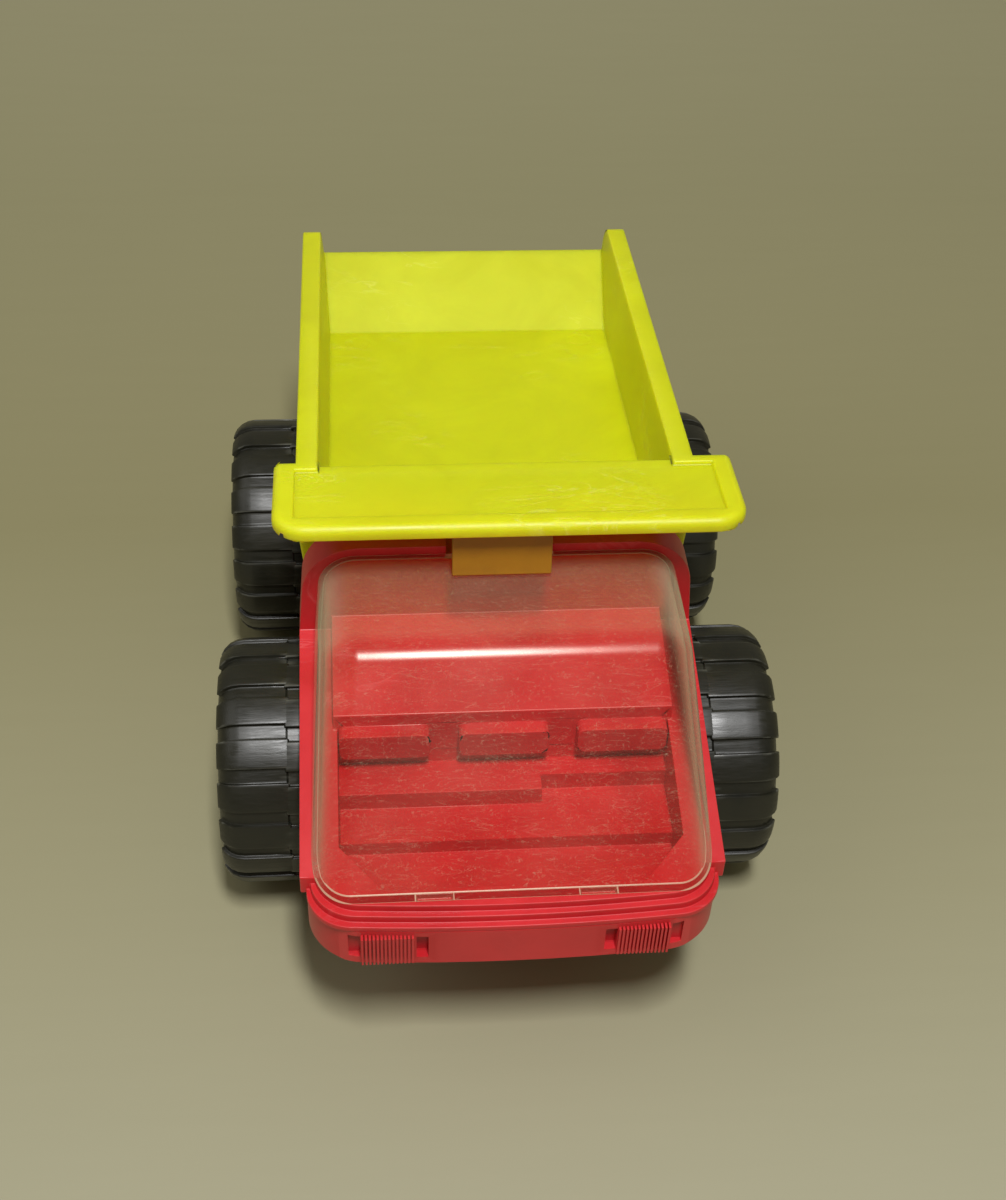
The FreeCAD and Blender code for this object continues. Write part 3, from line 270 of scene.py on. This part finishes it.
def markedFloor(material, marks):
    # shallow sink and gate marks pressed into the colour's own bump
    tree = material.node_tree
    shader = tree.nodes["Principled BSDF"]
    coords = addNode(tree, "ShaderNodeTexCoord")
    normal = shader.inputs["Normal"].links[0].from_socket
    for place, radius, height in marks:
        away = addNode(tree, "ShaderNodeVectorMath", {"operation": "DISTANCE", 1: place},
                       {0: (coords, "Object")})
        ring = addNode(tree, "ShaderNodeMapRange",
                       {"interpolation_type": "SMOOTHSTEP", "From Min": radius * 0.72 * mm,
                        "From Max": radius * mm, "To Min": height, "To Max": 0},
                       {"Value": (away, "Value")})
        bump = addNode(tree, "ShaderNodeBump", {"Strength": 0.6, "Distance": 0.0004},
                       {"Height": (ring, "Result")})
        tree.links.new(normal, bump.inputs["Normal"])
        normal = bump.outputs["Normal"]
    tree.links.new(normal, shader.inputs["Normal"])


def blackPolyethylene(name, look):
    # Black moulded polyethylene tyres: satin, drawn with fine lines across the tread from
    # the mould, with rubbed pale specks along the block corners.
    material, tree, shader, coords = newMaterial(name)
    across = addNode(tree, "ShaderNodeMapping", {"Scale": (0.12, 1, 1)},
                     {"Vector": (coords, "Object")})
    lines = addNode(tree, "ShaderNodeTexNoise",
                    {"Scale": 1000 / look["lineSize"], "Detail": 4, "Roughness": 0.7},
                    {"Vector": (across, "Vector")})
    cloud = addNode(tree, "ShaderNodeTexNoise", {"Scale": 1000 / 9, "Detail": 4},
                    {"Vector": (coords, "Object")})
    tone = addNode(tree, "ShaderNodeValToRGB",
                   {"stops": [(0.3, linear(look["dark"])), (0.7, linear(look["light"]))]},
                   {"Fac": (cloud, "Fac")})
    shape = addNode(tree, "ShaderNodeNewGeometry")
    corner = addNode(tree, "ShaderNodeMapRange", {"From Min": 0.53, "From Max": 0.62},
                     {"Value": (shape, "Pointiness")})
    speck = addNode(tree, "ShaderNodeTexNoise", {"Scale": 1000 / 1.6, "Detail": 3},
                    {"Vector": (across, "Vector")})
    speckCut = addNode(tree, "ShaderNodeMapRange",
                       {"From Min": 0.5, "From Max": 0.66, "To Max": look["rub"]},
                       {"Value": (speck, "Fac")})
    # the flat discs, which face sideways, never touch anything and stay unrubbed
    facing = addNode(tree, "ShaderNodeSeparateXYZ", {}, {"Vector": (shape, "Normal")})
    sideways = addNode(tree, "ShaderNodeMath", {"operation": "ABSOLUTE"}, {0: (facing, "X")})
    touching = addNode(tree, "ShaderNodeMath", {"operation": "LESS_THAN", 1: 0.9},
                       {0: (sideways, "Value")})
    cornerCut = addNode(tree, "ShaderNodeMath", {"operation": "MULTIPLY"},
                        {0: (corner, "Result"), 1: (touching, "Value")})
    rub = addNode(tree, "ShaderNodeMath", {"operation": "MULTIPLY"},
                  {0: (cornerCut, "Value"), 1: (speckCut, "Result")})
    worn = addNode(tree, "ShaderNodeMix", {"data_type": "RGBA", 7: linear(look["rubColour"])},
                   {0: (rub, "Value"), 6: (tone, "Color")})
    tree.links.new(worn.outputs[2], shader.inputs["Base Color"])
    rough = addNode(tree, "ShaderNodeMapRange",
                    {"From Min": 0.35, "From Max": 0.65, "To Min": look["smooth"],
                     "To Max": look["rough"]}, {"Value": (lines, "Fac")})
    tree.links.new(rough.outputs["Result"], shader.inputs["Roughness"])
    bump = addNode(tree, "ShaderNodeBump", {"Strength": look["lineDepth"], "Distance": 0.00012},
                   {"Height": (lines, "Fac")})
    tree.links.new(bump.outputs["Normal"], shader.inputs["Normal"])
    shader.inputs["IOR"].default_value = 1.51
    return material


tyreLook = {
    "dark": "#12120c", "light": "#1d1c13", "lineSize": 0.9, "lineDepth": 0.35,
    "smooth": 0.30, "rough": 0.46, "rub": 0.7, "rubColour": "#8f8f84",
}
tyrePolyethylene = blackPolyethylene("blackMouldedPolyethylene", tyreLook)


def drawnSteel(name):
    # Bright drawn wire: fine lines along its length and a dull grey film.
    material, tree, shader, coords = newMaterial(name)
    along = addNode(tree, "ShaderNodeMapping", {"Scale": (0.05, 1, 1)},
                    {"Vector": (coords, "Object")})
    lines = addNode(tree, "ShaderNodeTexNoise", {"Scale": 1000 / 0.4, "Detail": 3},
                    {"Vector": (along, "Vector")})
    tone = addNode(tree, "ShaderNodeValToRGB",
                   {"stops": [(0.3, linear("#8d8b86")), (0.7, linear("#b9b7b1"))]},
                   {"Fac": (lines, "Fac")})
    rough = addNode(tree, "ShaderNodeMapRange", {"To Min": 0.22, "To Max": 0.48},
                    {"Value": (lines, "Fac")})
    bump = addNode(tree, "ShaderNodeBump", {"Strength": 0.15, "Distance": 0.00005},
                   {"Height": (lines, "Fac")})
    tree.links.new(tone.outputs["Color"], shader.inputs["Base Color"])
    tree.links.new(rough.outputs["Result"], shader.inputs["Roughness"])
    tree.links.new(bump.outputs["Normal"], shader.inputs["Normal"])
    shader.inputs["Metallic"].default_value = 1
    return material


axleSteel = drawnSteel("drawnSteelWire")


def clearPolystyrene(name, look):
    # Clear moulded polystyrene gone slightly yellow: see-through, glossy, hazed by fine
    # scratches, and milky where a wall is seen edge on.
    material, tree, shader, coords = newMaterial(name)
    output = tree.nodes["Material Output"]
    through = addNode(tree, "ShaderNodeBsdfTransparent", {"Color": linear(look["tint"])})
    shader.inputs["Base Color"].default_value = linear(look["haze"])
    shader.inputs["IOR"].default_value = 1.59
    turn = addNode(tree, "ShaderNodeMapping", {"Rotation": (0.2, 0.4, 0.7), "Scale": (1, 6, 1)},
                   {"Vector": (coords, "Object")})
    hair = addNode(tree, "ShaderNodeTexNoise",
                   {"Scale": 1000 / look["scratchSize"], "Detail": 4, "Distortion": 1.5},
                   {"Vector": (turn, "Vector")})
    hairLine = addNode(tree, "ShaderNodeValToRGB",
                       {"stops": [(0.494, grey(0)), (0.5, grey(1)), (0.506, grey(0))]},
                       {"Fac": (hair, "Fac")})
    dust = addNode(tree, "ShaderNodeTexNoise", {"Scale": 1000 / 0.8, "Detail": 2},
                   {"Vector": (coords, "Object")})
    speck = addNode(tree, "ShaderNodeMapRange",
                    {"From Min": 0.66, "From Max": 0.74, "To Max": look["speck"]},
                    {"Value": (dust, "Fac")})
    cloud = addNode(tree, "ShaderNodeTexNoise", {"Scale": 1000 / 18, "Detail": 3},
                    {"Vector": (coords, "Object")})
    film = addNode(tree, "ShaderNodeMapRange",
                   {"From Min": 0.35, "From Max": 0.7, "To Min": look["film"][0],
                    "To Max": look["film"][1]}, {"Value": (cloud, "Fac")})
    filmed = addNode(tree, "ShaderNodeMath", {"operation": "ADD"},
                     {0: (film, "Result"), 1: (speck, "Result")})
    scratched = addNode(tree, "ShaderNodeMath",
                        {"operation": "MULTIPLY_ADD", 1: look["scratch"]},
                        {0: (hairLine, "Color"), 2: (filmed, "Value")})
    # the film is crossed at a slant, so it covers more where the wall turns away
    facing = addNode(tree, "ShaderNodeLayerWeight", {"Blend": 0.5})
    slant = addNode(tree, "ShaderNodeMath", {"operation": "POWER", 1: look["slant"]},
                    {0: (facing, "Facing")})
    marked = addNode(tree, "ShaderNodeMath",
                     {"operation": "MULTIPLY_ADD", 1: look["slantFilm"], "use_clamp": True},
                     {0: (slant, "Value"), 2: (scratched, "Value")})
    hazed = addNode(tree, "ShaderNodeMixShader", {},
                    {0: (marked, "Value"), 1: (through, "BSDF"), 2: (shader, "BSDF")})
    # mirror share rises towards grazing as on any clear plastic
    steep = addNode(tree, "ShaderNodeMath", {"operation": "POWER", 1: look["grazing"]},
                    {0: (facing, "Facing")})
    mirror = addNode(tree, "ShaderNodeMath", {"operation": "MULTIPLY_ADD", 1: 0.6, 2: 0.015,
                                              "use_clamp": True}, {0: (steep, "Value")})
    rough = addNode(tree, "ShaderNodeMapRange",
                    {"To Min": look["smooth"], "To Max": look["rough"]}, {"Value": (cloud, "Fac")})
    gloss = addNode(tree, "ShaderNodeBsdfGlossy", {"Color": linear(look["shine"])},
                    {"Roughness": (rough, "Result")})
    tree.links.new(rough.outputs["Result"], shader.inputs["Roughness"])
    mix = addNode(tree, "ShaderNodeMixShader", {},
                  {0: (mirror, "Value"), 1: (hazed, "Shader"), 2: (gloss, "BSDF")})
    tree.links.new(mix.outputs["Shader"], output.inputs["Surface"])
    return material


domeLook = {
    "tint": "#fcf6f2", "haze": "#cfc3a2", "shine": "#fbf6ea", "grazing": 5.0,
    "slant": 2.4, "slantFilm": 0.95,
    "scratchSize": 11, "scratch": 0.16, "speck": 0.10, "film": (0.0, 0.02),
    "smooth": 0.17, "rough": 0.26,
}
rimLook = dict(domeLook, haze="#e6dcc0", film=(0.35, 0.55), smooth=0.25, rough=0.4)
clearPlastic = clearPolystyrene("clearMouldedPolystyrene", domeLook)
milkyEdge = clearPolystyrene("clearPolystyreneEdge", rimLook)
print("materials made")

chassisLook = {
    "corner": 30, "smooth": 38,
    "rounding": [(0.35, 2, lambda p: not (p.y < -0.0955 and abs(p.x) < 0.036))],
}
chassis = mouldedCopy("chassisMoulding", "chassis", chassisLook)
settle(chassis, "truck", "red_plastic", redPolyethylene, "chassis")
print("chassis done")

cabLook = {"corner": 30, "smooth": 38, "rounding": [(0.3, 2, lambda p: True)]}
cab = mouldedCopy("cabMoulding", "cab_tub", cabLook)
settle(cab, "truck", "red_plastic", redPolyethylene, "cab_tub")
print("cab done")

bedLook = {
    "corner": 30, "smooth": 38, "rounding": [(0.4, 3, lambda p: True)],
    "lean": 5.7,
    # mould marks on the floor: place in the body's own frame, radius, height
    "marks": [((1, -80, 11.7), 4.6, 0.5), ((-29, -1, 11.7), 3.4, -0.4),
              ((29, -1, 11.7), 3.4, -0.4)],
    # the bounds of the flap whose faces get the painted shade, from the middle, from the front end
    # and from the floor
    "flapHalf": 10.6, "flapReach": 6.4, "flapTop": 94.5, "flapLevel": 0.9,
}
bed = mouldedCopy("dumpBodyMoulding", "dump_body", bedLook)
lean = math.radians(bedLook["lean"])
hinge = sum(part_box("hinge_rod"), Vector()) / 2


def onBed(x, y, z):
    # a spot given in mm in the dump body's own frame
    return (x * mm, hinge.y + (y * math.cos(lean) + z * math.sin(lean)) * mm,
            hinge.z + (-y * math.sin(lean) + z * math.cos(lean)) * mm)


markedFloor(yellowPolyethylene, [(onBed(*spot), radius, height)
                                 for spot, radius, height in bedLook["marks"]])
settle(bed, "tipper", "yellow_plastic", yellowPolyethylene, "dump_body")
# the flap's faces take the browner yellow of painted shade
bed.data.materials.append(flapShadePolyethylene)
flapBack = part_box("dump_body")[0].y + bedLook["flapReach"] * mm
for face in bed.data.polygons:
    middle = face.center
    if (abs(middle.x) < bedLook["flapHalf"] * mm and middle.y < flapBack
            and middle.z < bedLook["flapTop"] * mm
            and abs(face.normal.z) < bedLook["flapLevel"]):
        face.material_index = 1
print("dump body done")

domeShape = {
    "corner": 40, "smooth": 50, "rounding": [(0.2, 2, lambda p: True)],
    # cut edges are milky: at the back, and along the foot but for the two tabs
    "backEdge": 0.4, "footTop": 70, "footDown": -0.75, "tab": (12, 21),
}
dome = mouldedCopy("clearCabRoof", "cab_dome", domeShape)
settle(dome, "truck", "clear_plastic", clearPlastic, "cab_dome")
dome.data.materials.append(milkyEdge)
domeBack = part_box("cab_dome")[1].y
tabInner, tabOuter = domeShape["tab"]
for face in dome.data.polygons:
    middle = face.center
    onTab = tabInner * mm < abs(middle.x) < tabOuter * mm
    onFoot = (face.normal.z < domeShape["footDown"]
              and middle.z < domeShape["footTop"] * mm and not onTab)
    if onFoot or middle.y > domeBack - domeShape["backEdge"] * mm:
        face.material_index = 1
print("clear roof done")

wheel = {
    "radius": 28.0, "blockHigh": 0.9, "blocks": 18, "stepsPerBlock": 15, "blockSteps": 10,
    "edge": 0.28, "twist": 1.6, "corner": 55, "smooth": 40,
    # each wheel stands at its own angle, in degrees
    "turns": {"fl": 7, "fr": 0, "rl": 11, "rr": 4},
}
frontAxle = sum(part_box("front_axle"), Vector()) / 2
rearAxle = sum(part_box("rear_axle"), Vector()) / 2
base = wheel["radius"] - wheel["blockHigh"]
outerProfile = [
    (46.5, base - 0.25), (46.75, base), (50, base), (54, base), (56.6, base),
    (58.2, base - 0.25), (59.5, base - 0.85), (60.5, base - 1.8), (61.2, base - 3.0),
    (61.65, base - 4.3), (61.8, base - 5.6), (61.8, 20.6), (61.5, 19.8), (60.9, 19.3),
    (57.6, 18.6), (57.1, 18.2), (57.0, 17.6), (57.0, 12), (57.0, 7.4), (57.3, 6.6), (58.1, 6.1),
    (58.4, 5.8), (58.6, 5.3), (58.6, 1.52), (46.5, 1.52), (46.5, 12), (46.5, base - 0.25),
]
innerProfile = [
    (46.5, base - 0.25), (46.25, base), (43, base), (40.4, base), (39.2, base - 0.35),
    (38.4, base - 1.2), (38.0, base - 2.4), (38.0, 22.4), (38.5, 21.7), (41.2, 21.2),
    (41.5, 20.6), (41.5, 12), (41.5, 6.6), (40.9, 6.1), (38.4, 5.9), (38.0, 5.5), (38.0, 1.52),
    (46.5, 1.52), (46.5, 12), (46.5, base - 0.25),
]


def treadShell(name, profile, low, high, twist):
    steps = wheel["blocks"] * wheel["stepsPerBlock"]
    shell = turned(name, profile, steps)
    focus(shell)
    bpy.ops.object.mode_set(mode="EDIT")
    step = 2 * math.pi / steps

    def onBlock(middle, normal):
        if not low * mm < middle.x < high * mm or middle.yz.length < (base - 4) * mm:
            return False
        turn = math.atan2(middle.y, middle.z) % (2 * math.pi)
        return int(turn / step) % wheel["stepsPerBlock"] < wheel["blockSteps"]

    pickFaces(shell, onBlock)
    bpy.ops.mesh.extrude_region_shrink_fatten(
        TRANSFORM_OT_shrink_fatten={"value": wheel["blockHigh"] * mm})
    pickSharp(shell, wheel["corner"], lambda p: p.yz.length > (base - 5) * mm)
    bpy.ops.mesh.bevel(offset=wheel["edge"] * mm, segments=2, affect="EDGES",
                       clamp_overlap=False)
    bpy.ops.mesh.select_all(action="SELECT")
    bpy.ops.transform.rotate(value=math.radians(twist), orient_axis="X",
                             center_override=(0, 0, 0))
    bpy.ops.object.mode_set(mode="OBJECT")
    smoothOff(shell, wheel["smooth"])
    return shell


outerMaster = treadShell("outerShellMaster", outerProfile, 46.4, 60.9, 0)
innerMaster = treadShell("innerShellMaster", innerProfile, 38.5, 46.6, wheel["twist"])

# push-on cap pressed over the axle's end, and the sleeve that spaces the wheel
capProfile = [
    (58.62, 1.6), (58.62, 3.9), (58.75, 4.0), (59.3, 4.0), (59.5, 3.85), (59.6, 3.2),
    (60.2, 3.0), (60.8, 2.5), (61.1, 1.6), (61.2, 0.7), (61.2, 0.0),
]
capMaster = turned("axleCapMaster", capProfile, 48)
smoothOff(capMaster, 35)
sleeveProfile = [
    (34.35, 1.6), (34.35, 2.9), (34.55, 3.08), (37.75, 3.08), (37.95, 2.9), (37.95, 1.6),
    (34.35, 1.6),
]
sleeveMaster = turned("sleeveMaster", sleeveProfile, 40)
smoothOff(sleeveMaster, 35)

for corner, axle, side in (("fl", frontAxle, -1), ("fr", frontAxle, 1),
                           ("rl", rearAxle, -1), ("rr", rearAxle, 1)):
    body = "front_wheels" if corner[0] == "f" else "rear_wheels"
    turn = Matrix.Rotation(math.radians(wheel["turns"][corner]), 4, "X")
    place = Matrix.Translation((0, axle.y, axle.z)) @ (
        Matrix.Rotation(math.pi, 4, "Z") if side < 0 else Matrix.Identity(4)) @ turn
    for master, name, node, slot, material in (
            (outerMaster, "tyreOuter_", "tyre_%s_outer", "black_plastic", tyrePolyethylene),
            (innerMaster, "tyreInner_", "tyre_%s_inner", "black_plastic", tyrePolyethylene),
            (capMaster, "axleCap_", "axle_cap_%s", "steel", axleSteel),
            (sleeveMaster, "sleeve_", "spacer_%s", "black_plastic", tyrePolyethylene)):
        piece = placedCopy(master, name + corner, place)
        settle(piece, body, slot, material, node % corner)
for master in (outerMaster, innerMaster, capMaster, sleeveMaster):
    bpy.data.objects.remove(master)
print("wheels done")

for node in ("front_axle", "rear_axle", "hinge_rod",
             "rod_cap_l", "rod_cap_r", "cab_screw_l", "cab_screw_r"):
    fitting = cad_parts[node]
    fitting.data.materials.clear()
    fitting.data.materials.append(axleSteel)
print("steel parts done")

def studioPaper(name):
    # Pale matt card with a faint laid line, and painted shade: the colour is darker around the
    # truck than close by
    material, tree, shader, coords = newMaterial(name)
    flat = addNode(tree, "ShaderNodeMapping", {"Scale": (0.1, 1, 1)},
                   {"Vector": (coords, "Object")})
    laid = addNode(tree, "ShaderNodeTexNoise", {"Scale": 1000 / 5, "Detail": 3},
                   {"Vector": (flat, "Vector")})
    tone = addNode(tree, "ShaderNodeValToRGB",
                   {"stops": [(0.3, linear("#a29d80")), (0.7, linear("#a39e81"))]},
                   {"Fac": (laid, "Fac")})
    # painted shade and light falloff: the card is multiplied darker around the truck, paler near
    # and far
    place = addNode(tree, "ShaderNodeSeparateXYZ", {}, {"Vector": (coords, "Object")})
    away = addNode(tree, "ShaderNodeMapRange", {"From Min": -0.14, "From Max": 0.44},
                   {"Value": (place, "Y")})
    paintedFloorShade = addNode(tree, "ShaderNodeValToRGB",
                  {"stops": [(0.0, linear("#f6f8ff")), (0.14, linear("#e9e9e4")),
                             (0.38, linear("#d6d4c0")), (0.70, linear("#e4e4d6")),
                             (1.0, linear("#fbfcf6"))]}, {"Fac": (away, "Result")})
    shaded = addNode(tree, "ShaderNodeMix",
                     {"data_type": "RGBA", "blend_type": "MULTIPLY", "Factor": 1},
                     {6: (tone, "Color"), 7: (paintedFloorShade, "Color")})
    tree.links.new(shaded.outputs[2], shader.inputs["Base Color"])
    shader.inputs["Roughness"].default_value = 0.75
    return material


bpy.ops.mesh.primitive_plane_add(size=6, location=(0, 0, 0))
floor = bpy.context.object
floor.name = "studioFloor"
floor.data.materials.append(studioPaper("paleCard"))

world = bpy.data.worlds.new("studio")
bpy.context.scene.world = world
world.use_nodes = True
world.node_tree.nodes["Background"].inputs["Color"].default_value = linear("#d9d4ba")
world.node_tree.nodes["Background"].inputs["Strength"].default_value = 0.34

lights = {
    # name: place, aim, width, height, watts
    "key": ((0.034, -0.44, 1.03), (0, 0, 0.03), 0.10, 0.26, 10.5),
    "fill": ((-0.8, -0.1, 0.95), (0, 0, 0.03), 0.8, 0.8, 2.0),
}
for name, (spot, aim, width, height, watts) in lights.items():
    lamp = bpy.data.lights.new(name, "AREA")
    lamp.shape, lamp.size, lamp.size_y, lamp.energy = "RECTANGLE", width, height, watts
    holder = bpy.data.objects.new(name, lamp)
    holder.location = spot
    holder.rotation_euler = (Vector(aim) - Vector(spot)).to_track_quat("-Z", "Y").to_euler()
    bpy.context.scene.collection.objects.link(holder)

view = {"place": (-0.02798, -0.30089, 0.32664), "turn": (46.729, -1.968, -4.313),
        "lens": 34.13}
camera = bpy.data.cameras.new("studioCamera")
camera.sensor_fit, camera.sensor_height, camera.lens = "VERTICAL", 24, view["lens"]
camera.clip_start = 0.01
stand = bpy.data.objects.new("studioCamera", camera)
stand.location = view["place"]
stand.rotation_euler = [math.radians(a) for a in view["turn"]]
bpy.context.scene.collection.objects.link(stand)
bpy.context.scene.camera = stand
bpy.context.scene.view_settings.view_transform = "Standard"
print("stage set")
